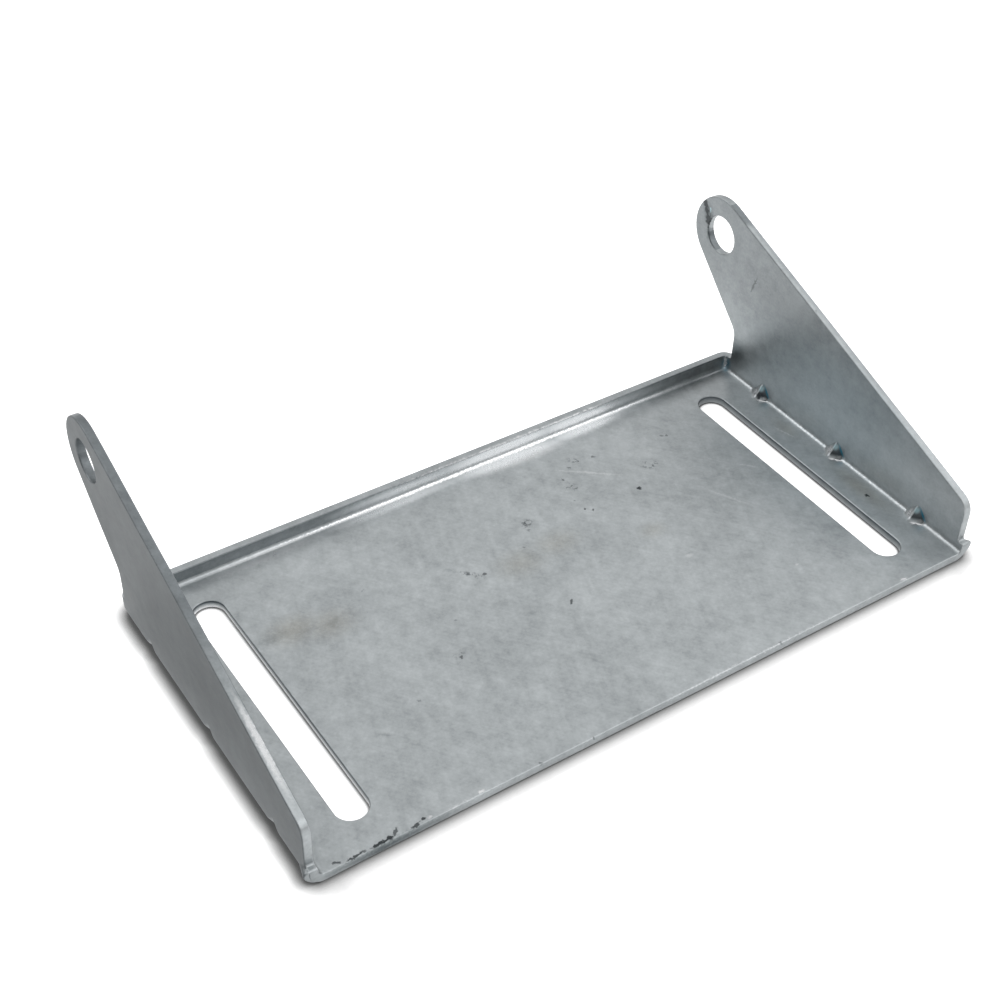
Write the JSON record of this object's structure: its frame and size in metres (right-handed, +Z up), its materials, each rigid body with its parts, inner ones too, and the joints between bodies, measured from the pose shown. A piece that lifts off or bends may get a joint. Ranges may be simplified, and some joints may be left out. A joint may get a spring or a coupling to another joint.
{
  "type": "roller bracket",
  "caption": "Stamped and galvanised steel roller bracket: a flat slotted base with a low rear lip, and sloping ears that carry a roller shaft.",
  "frame": {"origin": "on the underside of the base, midway between the slots and half way along them", "axes": "+X across the bracket along the roller shaft, +Y from the open front edge to the lip, +Z up"},
  "size_m": [0.3196, 0.1899, 0.0883],
  "materials": {
    "galvanised_steel": "hot-dip galvanised mild steel, weathered to a soft dull grey"
  },
  "bodies": {
    "root": {"bracket": "galvanised_steel"}
  },
  "joints": []
}
